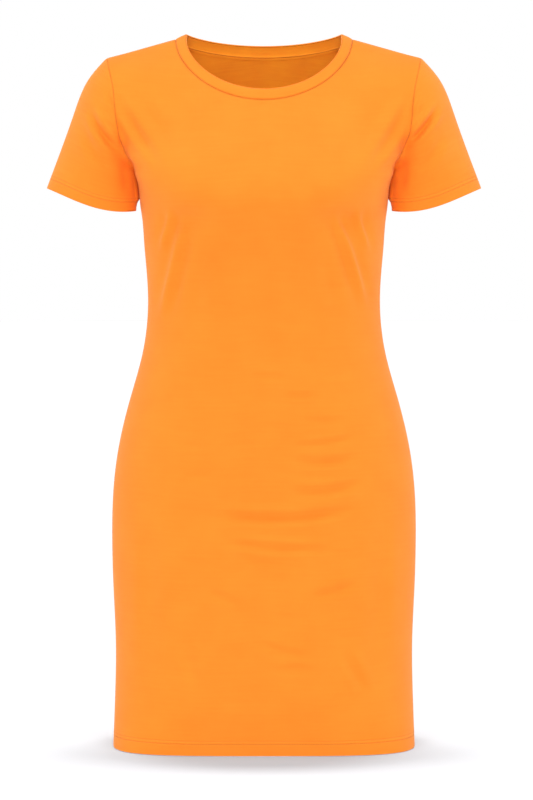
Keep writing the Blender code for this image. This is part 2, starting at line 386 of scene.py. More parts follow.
# A crease runs through three places, x and z in millimetres as the dress is seen from in
# front, and presses a trough with a swell above and below. A ridge has its depth below
# nothing. Sizes are in millimetres.
Crease = namedtuple("Crease", "start middle end width depth swell")
CREASES = {
    FRONT: (
        # across the stomach and hips, most of them towards the wearer's left
        Crease((40, -466), (75, -467), (108, -464), 3.5, 1.5, 0.8),
        Crease((30, -495), (72, -493), (120, -485), 3.5, 2.4, 1.4),
        Crease((28, -512), (74, -517), (124, -509), 4.5, 2.5, 1.6),
        Crease((24, -548), (74, -552), (124, -539), 5.0, 3.2, 2.0),
        Crease((-84, -579), (30, -584), (124, -570), 5.0, 3.8, 2.3),
        Crease((-60, -612), (15, -620), (98, -623), 4.0, 2.8, 1.7),
        Crease((-30, -635), (-2, -637), (26, -641), 3.5, 1.6, 1.0),
        Crease((55, -681), (86, -675), (120, -662), 5.0, 2.2, 1.3),
        Crease((-70, -675), (-48, -682), (-22, -696), 5.0, 1.9, 1.3),
        Crease((-16, -730), (20, -746), (64, -751), 4.0, 2.0, 1.2),
        Crease((-8, -773), (34, -770), (72, -772), 4.0, 1.3, 0.8),
        Crease((94, -742), (110, -771), (126, -806), 6.0, 2.4, 1.7),
        Crease((-96, -742), (-88, -772), (-76, -800), 7.0, 1.3, 0.9),
        Crease((-24, -414), (6, -413), (38, -413), 4.0, 1.2, 0.7),
        Crease((18, -436), (44, -437), (70, -434), 3.5, 1.6, 0.9),
        Crease((-112, -486), (-88, -497), (-62, -500), 6.0, 0.9, 0.5),
        Crease((-104, -540), (-84, -534), (-58, -536), 5.0, 1.0, 0.6),
        # drawn from under the bust towards the waist
        Crease((-96, -218), (-112, -286), (-128, -350), 5.4, -4.2, -2.6),
        Crease((-114, -206), (-121, -234), (-125, -266), 4.0, -2.8, -1.8),
        Crease((84, -208), (106, -268), (126, -338), 4.8, -4.4, -2.8),
        Crease((114, -206), (121, -234), (127, -266), 3.8, -3.0, -1.9),
        Crease((-72, -262), (-80, -312), (-78, -356), 8.0, 0.9, 0.5),
        Crease((66, -250), (80, -300), (96, -352), 8.0, 1.0, 0.6),
        # from the armholes across the chest
        Crease((-176, -58), (-146, -108), (-108, -160), 7.5, -3.8, -2.2),
        Crease((-180, -88), (-160, -124), (-130, -160), 5.0, -2.6, -2.0),
        Crease((174, -54), (149, -107), (110, -160), 7.5, -3.6, -2.1),
        Crease((178, -98), (160, -131), (134, -160), 5.0, -2.5, -1.9),
        Crease((-174, -144), (-160, -157), (-136, -160), 5.0, 2.6, 0.6),
        Crease((174, -144), (160, -157), (136, -160), 5.0, 2.6, 0.6),
        Crease((-80, -46), (-82, -72), (-78, -100), 5.5, 1.2, 0.7),
        Crease((92, -36), (94, -62), (92, -90), 5.5, 1.1, 0.7),
        # on the sleeves, from the armhole seam down to the underarm
        Crease((-206, -80), (-193, -106), (-175, -126), 4.0, -2.0, -1.3),
        Crease((-216, -84), (-199, -117), (-174, -142), 4.2, 4.2, 2.4),
        Crease((-224, -108), (-208, -140), (-186, -166), 6.0, 2.2, 1.4),
        Crease((-192, -60), (-187, -84), (-181, -106), 3.0, 1.7, 1.0),
        Crease((207, -78), (192, -103), (175, -124), 3.8, -2.2, -1.4),
        Crease((217, -80), (197, -109), (172, -134), 3.8, 4.6, 2.6),
        Crease((222, -114), (206, -144), (186, -166), 6.0, 2.0, 1.3),
        Crease((190, -60), (184, -84), (179, -106), 3.0, 1.6, 1.0),
        Crease((-176, -146), (-171, -170), (-170, -194), 5.0, 1.2, 0.4),
        Crease((176, -146), (171, -170), (170, -194), 5.0, 1.2, 0.4),
    ),
    BACK: (
        # short ones across the small of the back
        Crease((-96, -352), (-38, -362), (28, -354), 4.5, 2.2, 1.4),
        Crease((-70, -381), (-5, -390), (66, -378), 4.5, 2.6, 1.7),
        Crease((-20, -408), (42, -415), (100, -404), 4.5, 2.2, 1.3),
        Crease((-104, -418), (-66, -424), (-22, -430), 4.0, 1.6, 1.0),
        Crease((-48, -446), (8, -452), (58, -447), 4.0, 1.5, 0.9),
        # under the seat, where the cloth hangs in
        Crease((-122, -640), (-60, -652), (4, -648), 5.5, 2.2, 1.4),
        Crease((-8, -668), (52, -676), (112, -662), 5.0, 2.0, 1.3),
        Crease((-92, -704), (-50, -714), (-8, -728), 5.5, 1.4, 0.9),
        Crease((60, -724), (92, -752), (108, -796), 6.0, 1.8, 1.2),
        Crease((-124, -742), (-112, -776), (-104, -812), 6.5, 1.6, 1.0),
        # between the shoulders and from the armholes
        Crease((-166, -62), (-138, -96), (-104, -128), 6.5, -1.2, -0.7),
        Crease((168, -70), (142, -104), (112, -140), 6.0, -1.3, -0.8),
        Crease((-52, -64), (4, -72), (58, -62), 6.0, 0.9, 0.6),
        Crease((-172, -128), (-152, -150), (-124, -162), 5.0, 1.5, 0.8),
        Crease((172, -132), (150, -154), (120, -168), 5.0, 1.6, 0.8),
        Crease((-138, -226), (-118, -262), (-92, -296), 6.0, -1.4, -0.8),
        Crease((136, -220), (114, -262), (86, -304), 6.0, -1.5, -0.8),
        # on the sleeves
        Crease((-206, -84), (-192, -108), (-178, -122), 4.0, 1.6, 1.0),
        Crease((-216, -108), (-200, -134), (-182, -150), 5.0, 1.5, 0.9),
        Crease((206, -92), (192, -114), (178, -128), 4.0, 1.7, 1.0),
        Crease((218, -120), (202, -144), (186, -156), 5.0, 1.3, 0.9),
    ),
}

# A swell is a broad, soft rise: where its middle is, how far it reaches along and across
# itself, how it is turned in degrees, and how high it is. A hollow is below nothing.
Swell = namedtuple("Swell", "place along across turn height")
SWELLS = {
    FRONT: (
        Swell((-84, -184), 46, 32, 8, 4.2),
        Swell((84, -184), 46, 32, -8, 4.2),
        Swell((-98, -224), 37, 17, 6, -9.0),
        Swell((98, -225), 36, 17, -8, -9.4),
        Swell((0, -236), 60, 14, 0, -0.8),
        Swell((-44, -580), 70, 24, 0, -4.6),
        Swell((-146, -194), 14, 24, 0, 1.5),
        Swell((146, -194), 14, 24, 0, 1.3),
        Swell((-20, -372), 16, 60, 0, 0.9),
        Swell((-138, -680), 12, 70, 2, -1.4),
        Swell((140, -690), 12, 80, -2, -1.6),
        Swell((-156, -690), 9, 80, 0, 1.2),
        Swell((158, -660), 9, 80, 0, 1.2),
        Swell((-60, -560), 30, 14, 0, 0.9),
        Swell((86, -598), 26, 12, -8, 1.0),
        Swell((-44, -660), 34, 10, -14, 0.9),
        Swell((10, -708), 36, 12, 6, -0.9),
        Swell((60, -800), 40, 14, 6, 0.9),
        Swell((-60, -826), 44, 14, -4, 1.0),
        Swell((-228, -118), 14, 40, -22, -0.9),
        Swell((230, -118), 14, 40, 22, -0.9),
    ),
    BACK: (
        Swell((-66, -96), 48, 44, 10, 1.6),
        Swell((66, -98), 48, 44, -10, 1.5),
        Swell((0, -130), 16, 70, 0, -1.2),
        Swell((-70, -566), 54, 46, 0, 1.8),
        Swell((68, -562), 54, 46, 0, 1.8),
        Swell((-132, -690), 13, 80, 0, -1.6),
        Swell((134, -676), 13, 80, 0, -1.5),
        Swell((-30, -700), 16, 90, 4, 1.3),
        Swell((50, -780), 14, 70, -4, -1.2),
        Swell((0, -236), 70, 24, 4, -0.9),
        Swell((-226, -120), 14, 40, -22, -0.9),
        Swell((226, -124), 14, 40, 22, -0.8),
    ),
}


def ease(share):
    share = np.clip(share, 0.0, 1.0)
    return share * share * (3.0 - 2.0 * share)


def crease_lift(places, creases):
    """How far the creases lift each place off the smooth cloth, in metres."""
    lift = np.zeros(len(places))
    spread = np.linspace(0.0, 1.0, 25)[:, None]
    for crease in creases:
        start, middle, end = (np.array(place, float) for place in crease[:3])
        control = 2.0 * middle - (start + end) / 2.0
        line = (1 - spread) ** 2 * start + 2 * spread * (1 - spread) * control + spread**2 * end
        reach = 4.0 * crease.width
        low, high = line.min(axis=0) - reach, line.max(axis=0) + reach
        near = np.flatnonzero(np.all((places > low) & (places < high), axis=1))
        if not len(near):
            continue
        here = places[near]
        nearest = np.full(len(near), np.inf)
        off = np.zeros(len(near))
        along = np.zeros(len(near))
        for index in range(len(line) - 1):
            a, step = line[index], line[index + 1] - line[index]
            long = step @ step
            share = np.clip((here - a) @ step / long, 0.0, 1.0)
            gap = here - (a + share[:, None] * step)
            distance = np.hypot(gap[:, 0], gap[:, 1])
            side = np.sign(step[0] * gap[:, 1] - step[1] * gap[:, 0])
            closer = distance < nearest
            nearest = np.where(closer, distance, nearest)
            off = np.where(closer, side * distance, off)
            along = np.where(closer, (index + share) / (len(line) - 1), along)
        wide = off / crease.width
        taper = ease(along / 0.35) * ease((1.0 - along) / 0.35)
        trough = -crease.depth * np.exp(-(wide**2))
        swell = crease.swell * (
            np.exp(-(((wide - 1.9) / 1.2) ** 2)) + 0.7 * np.exp(-(((wide + 1.9) / 1.2) ** 2))
        )
        lift[near] += (trough + swell) * taper / 1000.0
    return lift


def swell_lift(places, swells):
    lift = np.zeros(len(places))
    for swell in swells:
        turn = math.radians(swell.turn)
        off = places - np.array(swell.place, float)
        along = off[:, 0] * math.cos(turn) + off[:, 1] * math.sin(turn)
        across = off[:, 1] * math.cos(turn) - off[:, 0] * math.sin(turn)
        reach = (along / swell.along) ** 2 + (across / swell.across) ** 2
        lift += swell.height / 1000.0 * np.exp(-reach)
    return lift


def fold_lift(cloth):
    """The folds are the dress's own, so they run on across its seams."""
    points = np.array([vertex.co for vertex in cloth.verts])
    places = points[:, (0, 2)] * 1000.0
    lift = np.zeros(len(points))
    for facing in (FRONT, BACK):
        share = ease(0.5 + facing * points[:, 1] / 0.024)
        folds = crease_lift(places, CREASES[facing]) + swell_lift(places, SWELLS[facing])
        lift += folds * share
    return lift


def cut_cloth(skin, name):
    """The outer face of one piece, cut half a seam gap inside its outline."""
    cloth = bmesh.new()
    cloth.from_mesh(skin)
    cloth.normal_update()
    outward = cloth.verts.layers.float_vector.new("outward")
    sewn = cloth.verts.layers.float.new("sewn")
    directions = [vertex.normal.copy() for vertex in cloth.verts]
    for _ in range(PANEL_EVENINGS if skin == panel_skin else FINE_EVENINGS):
        evened = []
        for vertex in cloth.verts:
            total = directions[vertex.index].copy()
            for edge in vertex.link_edges:
                total += directions[edge.other_vert(vertex).index]
            evened.append(total.normalized())
        directions = evened
    for vertex in cloth.verts:
        vertex[outward] = directions[vertex.index]
        vertex[sewn] = float(len({face.material_index for face in vertex.link_faces}) > 1)
    piece = PIECES.index(name)
    others = [face for face in cloth.faces if face.material_index != piece]
    bmesh.ops.delete(cloth, geom=others, context="FACES")
    for thickness in (SEAM_GAP / 2.0, ROLLED):
        rim = bmesh.ops.inset_region(
            cloth,
            faces=cloth.faces[:],
            use_boundary=True,
            use_even_offset=True,
            thickness=thickness,
        )
        if thickness < ROLLED:
            bmesh.ops.delete(cloth, geom=rim["faces"], context="FACES")
    return cloth


def distance_to_seams(cloth):
    """Distance from each point to the nearest seam, as far as one is looked for."""
    sewn = cloth.verts.layers.float["sewn"]
    seams = [vertex for vertex in cloth.verts if vertex.is_boundary and vertex[sewn] > 0.5]
    tree = KDTree(len(seams))
    for index, vertex in enumerate(seams):
        tree.insert(vertex.co, index)
    tree.balance()
    return np.array([min(tree.find(vertex.co)[2], SEAM_SEARCH) for vertex in cloth.verts])


def heights_on_cloth(cloth):
    """Distance of each point up the cloth, read back from its UV."""
    uv = cloth.loops.layers.uv["UVMap"]
    heights = np.zeros(len(cloth.verts))
    for vertex in cloth.verts:
        heights[vertex.index] = vertex.link_loops[0][uv].uv.y
    return heights


def round_edges(cloth, edges, width):
    bmesh.ops.bevel(
        cloth,
        geom=edges,
        offset=width,
        segments=2,
        profile=0.5,
        affect="EDGES",
        material=-1,
        clamp_overlap=True,
    )


def finished_piece(name, cloth):
    """The finished mesh as a piece of its own, smooth all over."""
    for face in cloth.faces:
        face.material_index = 0
        face.smooth = True
    mesh = bpy.data.meshes.new(name)
    cloth.to_mesh(mesh)
    cloth.free()
    piece = bpy.data.objects.new(name, mesh)
    bpy.context.scene.collection.objects.link(piece)
    return piece


def sew_up(cloth, name, lift, wall):
    """Lift the outer face, give it its thickness inwards and round its edges."""
    outward = cloth.verts.layers.float_vector["outward"]
    to_seam = cloth.verts.layers.float.new("to_seam")
    for index, distance in enumerate(distance_to_seams(cloth)):
        cloth.verts[index][to_seam] = distance
    inner = cloth.verts.layers.float.new("inside")
    through = cloth.verts.layers.float.new("through")
    for vertex, height, thick in zip(cloth.verts, lift, wall):
        vertex.co += Vector(vertex[outward]) * height
        vertex[through] = thick
    outside = set(cloth.faces)
    lining = bmesh.ops.extrude_face_region(cloth, geom=cloth.faces[:], use_keep_orig=True)
    inside = {item for item in lining["geom"] if isinstance(item, bmesh.types.BMFace)}
    for vertex in lining["geom"]:
        if isinstance(vertex, bmesh.types.BMVert):
            vertex.co -= Vector(vertex[outward]) * vertex[through]
            vertex[inner] = 1.0
    bmesh.ops.recalc_face_normals(cloth, faces=cloth.faces[:])
    walls = outside | inside
    corners = [
        edge
        for edge in cloth.edges
        if sum(face in walls for face in edge.link_faces) == 1 and len(edge.link_faces) == 2
    ]
    round_edges(cloth, corners, EDGE_ROUND)
    return finished_piece(name, cloth)


def seam_dip(to_seam):
    return -SEAM_DIP * np.exp(-((to_seam / SEAM_REACH) ** 2))


def make_panel(name):
    """A panel, with closer rows below the sleeves, where its creases lie across."""
    cloth = cut_cloth(panel_skin, name)
    uprights = []
    for edge in cloth.edges:
        run = edge.verts[1].co - edge.verts[0].co
        upright = abs(run.z) > STEEP * run.length > LONG_EDGE
        if upright and edge.verts[0].co.z < BELOW_SLEEVES:
            uprights.append(edge)
    bmesh.ops.subdivide_edges(cloth, edges=uprights, cuts=1, use_grid_fill=True)
    cloth.verts.ensure_lookup_table()
    cloth.verts.index_update()
    heights = heights_on_cloth(cloth)
    folds = fold_lift(cloth) * ease((heights - HEM_FLAT) / HEM_EASE)
    lift = folds + seam_dip(distance_to_seams(cloth))
    wall = CLOTH + (TURNED_UP - CLOTH) * (heights < TURN_UP_HEIGHT)
    return sew_up(cloth, name + "_cloth", lift, wall)


front_cloth = make_panel("front_panel")
back_cloth = make_panel("back_panel")


# The hem's two rows show as short straight stitches, each sunk a little into the cloth.
STITCH = 0.0027
STITCH_STEP = 0.0033
STITCH_SUNK = 0.00004
THREAD = 0.00034
THREAD_FLAT = 1.2
ROW_END = 0.0015
ROW_STAGGER = 0.0006
RUN_OF_STITCHES = 600


def line_across(piece, height):
    """The outer face where it lies at one height up the cloth: metres across, point, facing."""
    mesh = piece.data
    uv = np.zeros(len(mesh.loops) * 2)
    mesh.uv_layers["UVMap"].data.foreach_get("uv", uv)
    uv = uv.reshape(-1, 2)
    found = {}
    for face in mesh.polygons:
        loops = list(face.loop_indices)
        ups = [uv[loop][1] for loop in loops]
        if not min(ups) < height <= max(ups):
            continue
        for here, there in zip(loops, loops[1:] + loops[:1]):
            low, high = uv[here], uv[there]
            if (low[1] < height) == (high[1] < height):
                continue
            share = (height - low[1]) / (high[1] - low[1])
            a, b = (mesh.vertices[mesh.loops[loop].vertex_index] for loop in (here, there))
            across = round(float(low[0] + (high[0] - low[0]) * share), 5)
            point = a.co.lerp(b.co, share)
            found.setdefault(across, []).append((point, a.normal.lerp(b.normal, share)))
    middle = sum((point for places in found.values() for point, _ in places), Vector()) / sum(
        map(len, found.values())
    )
    line = []
    for across, places in sorted(found.items()):
        point, facing = max(places, key=lambda place: (place[0].xy - middle.xy).length)
        line.append((across, *point, *facing))
    return np.array(line)


def add_stitches(name, piece, rows, material):
    """Straight stitches along rows at the given heights up the cloth."""
    thread, run = bmesh.new(), bmesh.new()
    run_mesh = bpy.data.meshes.new("run_of_stitches")
    for number, height in enumerate(rows):
        line = line_across(piece, height)
        first = line[0, 0] + ROW_END + ROW_STAGGER * number
        last = line[-1, 0] - ROW_END
        for start in np.arange(first, last - STITCH, STITCH_STEP):
            ends = [
                Vector([np.interp(across, line[:, 0], line[:, axis]) for axis in (1, 2, 3)])
                for across in (start, start + STITCH)
            ]
            facing = Vector(
                [np.interp(start + STITCH / 2.0, line[:, 0], line[:, axis]) for axis in (4, 5, 6)]
            )
            along = (ends[1] - ends[0]).normalized()
            beside = facing.cross(along).normalized()
            facing = along.cross(beside)
            middle = (ends[0] + ends[1]) / 2.0 - facing * STITCH_SUNK
            turn = Matrix((along, beside, facing)).transposed().to_4x4()
            half = STITCH / 2.0, THREAD / 2.0, THREAD / (2.0 * THREAD_FLAT), 1.0
            size = Matrix.Diagonal(half)
            place = Matrix.Translation(middle) @ turn @ size
            bmesh.ops.create_uvsphere(run, u_segments=6, v_segments=5, radius=1.0, matrix=place)
            if len(run.verts) > RUN_OF_STITCHES or start + STITCH_STEP > last - STITCH:
                run.to_mesh(run_mesh)
                thread.from_mesh(run_mesh)
                run.clear()
    run.free()
    bpy.data.meshes.remove(run_mesh)
    bmesh.ops.recalc_face_normals(thread, faces=thread.faces[:])
    stitches = finished_piece(name, thread)
    stitches.data.materials.append(material)
    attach(stitches, "root")
    return stitches


# Plain jersey shows a fine column of V-shaped loops on its face. It is matt, a little
# fuzzy where it turns away, and never quite even in tone.

WALE = 0.00115
COURSE = 0.00090
ORANGE = (0.90, 0.232, 0.0152)
DEEP_ORANGE = (0.86, 0.188, 0.0085)
# Painted light: the inside faces take a lighter orange that stands in for light reaching the
# inside of the dress and shining through the thin jersey.
LIT_INSIDE_ORANGE = (1.0, 0.328, 0.0135)
# Painted shade: seams and the ditches of the stitched rows are darkened towards a brownish orange,
# standing in for shade in these narrow recesses.
SEAM_SHADOW_ORANGE = (0.42, 0.120, 0.0080)
SEAM_SHADE = 0.42
SEAM_SHADE_WIDTH = 0.0008
ROW_SHADES = (0.42, 0.22)
ROW_SHADE_WIDTH = 0.0007
BETWEEN_ROWS = 0.0030


class Wire:
    """A node's output. Sums written with it add their own Math nodes."""

    def __init__(self, shading, socket):
        self.shading, self.socket = shading, socket

    def math(self, operation, *others):
        return self.shading.math(operation, self, *others)

    def __add__(self, other):
        return self.math("ADD", other)

    def __sub__(self, other):
        return self.math("SUBTRACT", other)

    def __rsub__(self, other):
        return self.shading.math("SUBTRACT", other, self)

    def __mul__(self, other):
        return self.math("MULTIPLY", other)

    def __truediv__(self, other):
        return self.math("DIVIDE", other)

    __radd__, __rmul__ = __add__, __mul__


class Shading:
    """The nodes of one material, or of the room's light."""

    def __init__(self, owner):
        self.owner = owner
        self.owner.use_nodes = True
        self.tree = self.owner.node_tree
        self.tree.nodes.clear()

    def add(self, kind, settings=None, sockets=None, output=0):
        node = self.tree.nodes.new(kind)
        for setting, value in (settings or {}).items():
            setattr(node, setting, value)
        for name, value in (sockets or {}).items():
            if isinstance(value, Wire):
                self.tree.links.new(value.socket, node.inputs[name])
            else:
                node.inputs[name].default_value = value
        return Wire(self, node.outputs[output]) if len(node.outputs) else node

    def math(self, operation, *values):
        return self.add("ShaderNodeMath", {"operation": operation}, dict(enumerate(values)))

    def wave(self, value):
        """1 at each whole number of value and 0 midway between."""
        return self.math("COSINE", value * (2.0 * math.pi)) * 0.5 + 0.5

    def bell(self, value, centre, width):
        off = (value - centre) / width
        return self.math("EXPONENT", off * off * -1.0)

    def noise(self, vector, scale, detail=2.0):
        return self.add(
            "ShaderNodeTexNoise",
            {"noise_dimensions": "3D"},
            {"Vector": vector, "Scale": scale, "Detail": detail, "Roughness": 0.55},
        )

    def attribute(self, name):
        return self.add("ShaderNodeAttribute", {"attribute_name": name}, output=2)

    def flat_place(self, across, up):
        return self.add("ShaderNodeCombineXYZ", sockets={0: across, 1: up})

    def blend(self, share, first, second):
        first, second = ((*colour, 1.0) if isinstance(colour, tuple) else colour
                         for colour in (first, second))
        return self.add(
            "ShaderNodeMix",
            {"data_type": "RGBA", "clamp_factor": True},
            {0: share, 6: first, 7: second},
            output=2,
        )


def jersey(name, rows=()):
    """Orange cotton jersey, with hem rows at the given heights up the cloth."""
    cloth = Shading(bpy.data.materials.new(name))
    uv = cloth.add("ShaderNodeUVMap", {"uv_map": "UVMap"})
    u = cloth.add("ShaderNodeSeparateXYZ", sockets={0: uv})
    v = Wire(cloth, u.socket.node.outputs[1])
    place = cloth.add("ShaderNodeTexCoord", output=3)

    side = cloth.math("ABSOLUTE", cloth.math("FRACT", u / WALE) - 0.5)
    leg = cloth.wave(side * 2.0 - 0.5)
    loop = cloth.wave(v / COURSE + side * 1.3)
    knit = leg * (loop * 0.45 + 0.55)
    soft = cloth.noise(place, 26.0, 3.0)
    fuzz = cloth.noise(place, 900.0, 2.0)
    streak = cloth.noise(cloth.flat_place(u * 16.0, v * 300.0), 1.0, 2.0)
    # Painted shade along the seams, and further down in the ditches of the stitched rows.
    seam_and_row_shade = cloth.bell(cloth.attribute("to_seam"), 0.0, SEAM_SHADE_WIDTH) * SEAM_SHADE
    # The deeper orange in the gaps between the knit's loops is painted shade. The soft and
    # streaked parts are the cloth's uneven tone.
    depth = (1.0 - knit) * 0.12 + (soft - 0.5) * 0.9 + (streak - 0.5) * 0.6
    height = knit * 0.045 + (soft - 0.5) * 0.30 + (fuzz - 0.5) * 0.05
    for row, strength in zip(rows, ROW_SHADES):
        ditch = cloth.bell(v, row, ROW_SHADE_WIDTH)
        seam_and_row_shade = seam_and_row_shade + ditch * strength
        height = height - ditch * 0.30
    if rows:
        middle = sum(rows) / len(rows)
        band = cloth.bell(v, middle, BETWEEN_ROWS)
        depth = depth - band * 0.25
        ticks = cloth.noise(cloth.flat_place(u * 420.0, v * 60.0), 1.0, 1.0)
        swell = cloth.bell(v, middle, BETWEEN_ROWS * 0.4)
        height = height + (ticks - 0.5) * band * 0.45 + swell * 0.12
    # The inside faces are painted the lighter orange, painted light on the inside of the cloth.
    face = cloth.blend(cloth.attribute("inside"), ORANGE, LIT_INSIDE_ORANGE)
    colour = cloth.blend(seam_and_row_shade, cloth.blend(depth + 0.22, face, DEEP_ORANGE), SEAM_SHADOW_ORANGE)
    bump = cloth.add(
        "ShaderNodeBump", sockets={"Strength": 1.0, "Distance": 0.001, "Height": height}
    )
    shader = cloth.add(
        "ShaderNodeBsdfPrincipled",
        sockets={
            "Base Color": colour,
            "Roughness": fuzz * 0.12 + 0.78,
            "Specular IOR Level": 0.25,
            "Sheen Weight": 0.17,
            "Sheen Roughness": 0.45,
            "Sheen Tint": (1.0, 0.87, 0.42, 1.0),
            "Normal": bump,
        },
    )
    cloth.add("ShaderNodeOutputMaterial", sockets={"Surface": shader})
    return cloth.owner


def spun_thread():
    """Polyester thread, twisted and a little smoother than the cloth it holds."""
    thread = Shading(bpy.data.materials.new("orange_thread"))
    place = thread.add("ShaderNodeTexCoord", output=3)
    twist = thread.noise(place, 2600.0, 1.0)
    shade = thread.noise(place, 60.0, 1.0)
    colour = thread.blend(twist * 0.5 + (shade - 0.5) * 0.6, ORANGE, DEEP_ORANGE)
    bump = thread.add(
        "ShaderNodeBump", sockets={"Strength": 0.6, "Distance": 0.0001, "Height": twist}
    )
    shader = thread.add(
        "ShaderNodeBsdfPrincipled",
        sockets={
            "Base Color": colour,
            "Roughness": 0.55,
            "Specular IOR Level": 0.4,
            "Normal": bump,
        },
    )
    thread.add("ShaderNodeOutputMaterial", sockets={"Surface": shader})
    return thread.owner


panel_jersey = jersey("jersey_with_hem", ROW_HEIGHTS)
orange_thread = spun_thread()
for cloth, node in ((front_cloth, "front_panel"), (back_cloth, "back_panel")):
    cloth.data.materials.append(panel_jersey)
    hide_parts(node)
    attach(cloth, "root")
    add_stitches(node + "_stitches", cloth, ROW_HEIGHTS, orange_thread)


# ---------------------------------------------------------------------------
# Sleeves
# Two short set-in sleeves of the same jersey, each one piece joined under the arm, with
# the cuff turned up inside and held by a twin-needle row.

CUFF_ROW_HEIGHTS = (0.0125, 0.0165)
CUFF_TURN_UP = 0.0185
CUFF_FLAT = 0.008
CUFF_EASE = 0.022
UNDERARM_REACH = 0.016
UNDERARM_OUT = 0.190
UNDERARM_EASE = 0.022
CUFF_CORNER = 0.0045
CORNER_HEIGHT = 0.020
RESTS_OFF = 0.00018
DRAWN_ABOVE = 0.010
DRAWN_EASE = 0.008
DRAWN_GAP = 0.006
DRAWN_FADE = 0.002
INNER_HALF = 0.2
BELOW_ARMHOLE = -0.15
SEWN_STILL = 0.001
SEWN_EASE = 0.004

side_of_dress = BVHTree.FromPolygons(
    [vertex.co for panel in (front_cloth, back_cloth) for vertex in panel.data.vertices],
    [
        [corner + first for corner in face.vertices]
        for panel, first in ((front_cloth, 0), (back_cloth, len(front_cloth.data.vertices)))
        for face in panel.data.polygons
    ],
)


def rest_on_side(point, height, side):
    """Under the arm the sleeve lies against the side of the dress, down to its cuff."""
    near = math.exp(-((point.y / UNDERARM_REACH) ** 2))
    inner = near * float(ease((UNDERARM_OUT - side * point.x) / UNDERARM_EASE))
    point.x += side * CUFF_CORNER * inner * (1.0 - float(ease(height / CORNER_HEIGHT)))
    place, facing, _, gap = side_of_dress.find_nearest(point)
    gap = math.copysign(gap, (point - place).dot(facing))
    if gap < RESTS_OFF:
        return point + facing * (RESTS_OFF - gap)
    if gap < DRAWN_GAP:
        above_cuff = float(ease((height - DRAWN_ABOVE) / DRAWN_EASE))
        close = float(ease((DRAWN_GAP - gap) / DRAWN_FADE))
        point = point - facing * (gap - RESTS_OFF) * inner * above_cuff * close
    return point


def make_sleeve(name, side):
    cloth = cut_cloth(fine_skin, name)
    cloth.verts.ensure_lookup_table()
    cloth.verts.index_update()
    to_seam = distance_to_seams(cloth)
    heights = heights_on_cloth(cloth)
    lift = fold_lift(cloth) * ease((heights - CUFF_FLAT) / CUFF_EASE) + seam_dip(to_seam)
    outward = cloth.verts.layers.float_vector["outward"]
    for vertex, height, rise, off in zip(cloth.verts, heights, lift, to_seam):
        if side * vertex.co.x < INNER_HALF and vertex.co.z < BELOW_ARMHOLE:
            raised = vertex.co + Vector(vertex[outward]) * rise
            rested = rest_on_side(raised.copy(), height, side)
            vertex.co += (rested - raised) * float(ease((off - SEWN_STILL) / SEWN_EASE))
    wall = CLOTH + (TURNED_UP - CLOTH) * (heights < CUFF_TURN_UP)
    return sew_up(cloth, name + "_cloth", lift, wall)


sleeve_jersey = jersey("jersey_with_cuff", CUFF_ROW_HEIGHTS)
sleeves, cuff_stitches = {}, {}
for name, side in (("sleeve_left", LEFT), ("sleeve_right", RIGHT)):
    sleeve = sleeves[side] = make_sleeve(name, side)
    sleeve.data.materials.append(sleeve_jersey)
    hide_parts(name)
    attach(sleeve, "root")
    cuff_stitches[sleeve] = add_stitches(
        name + "_stitches", sleeve, CUFF_ROW_HEIGHTS, orange_thread
    )


# ---------------------------------------------------------------------------
# Neckband
# One strip of the same jersey, folded double and sewn round the neck, so it is plump, has
# a soft fold for its top edge and shows no stitches.

NECKBAND_CLOTH = 0.0022
NECKBAND_PLUMP = 0.0007

band = cut_cloth(fine_skin, "neckband")
band.verts.ensure_lookup_table()
band.verts.index_update()
to_seam = distance_to_seams(band)
heights = heights_on_cloth(band)
plump = NECKBAND_PLUMP * np.sin(np.pi * np.clip(heights / NECKBAND_WIDTH, 0.0, 1.0))
lift = plump + fold_lift(band) + seam_dip(to_seam)
neckband = sew_up(band, "neckband_cloth", lift, np.full(len(heights), NECKBAND_CLOTH))
neckband_jersey = jersey("neckband_jersey")
neckband.data.materials.append(neckband_jersey)
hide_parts("neckband")
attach(neckband, "root")

# Inside, the three cut edges of the neck seam are overcast together and turned down against
# the panels, and show as a narrow flat ridge under the band.
TURNING_WIDTH = 0.0032
TURNING_THICK = 0.0009
TURNING_FROM_SEAM = 0.0005
TURNING_FROM_CLOTH = 0.00025
TURNING_ROUND = 0.0003
TURNING_COLUMNS = 3
SHARP = 1.0

seam = bmesh.new()
seam.from_mesh(fine_skin)
seam.faces.ensure_lookup_table()
ring = []
for vertex in seam.verts:
    pieces = {PIECES[face.material_index] for face in vertex.link_faces}
    if "neckband" in pieces and len(pieces) > 1:
        bordering = [
            face for face in vertex.link_faces if PIECES[face.material_index] != "neckband"
        ]
        facing = sum((face.normal for face in bordering), Vector()).normalized()
        away = sum((face.calc_center_median() - vertex.co for face in bordering), Vector())
        away = (away - facing * away.dot(facing)).normalized()
        ring.append((math.atan2(vertex.co.y, vertex.co.x), vertex.co.copy(), facing, away))
seam.free()
ring.sort(key=lambda place: place[0])
turning = bmesh.new()
strip = bmesh.ops.create_grid(
    turning, x_segments=TURNING_COLUMNS, y_segments=len(ring), size=1.0
)
run = 0.0
runs = []
for index in range(len(ring) + 1):
    here, before = ring[index % len(ring)][1], ring[(index - 1) % len(ring)][1]
    run += (here - before).length if index else 0.0
    runs.append(run)
cloth_uv = turning.loops.layers.uv.new("UVMap")
spot = {}
for index, vertex in enumerate(strip["verts"]):
    row, column = divmod(index, TURNING_COLUMNS + 1)
    point, facing, away = ring[row % len(ring)][1:]
    off = TURNING_FROM_SEAM + TURNING_WIDTH * column / TURNING_COLUMNS
    vertex.co = point + away * off - facing * (CLOTH + TURNING_FROM_CLOTH + TURNING_THICK)
    spot[vertex] = runs[row], off
for face in turning.faces:
    for loop in face.loops:
        loop[cloth_uv].uv = spot[loop.vert]
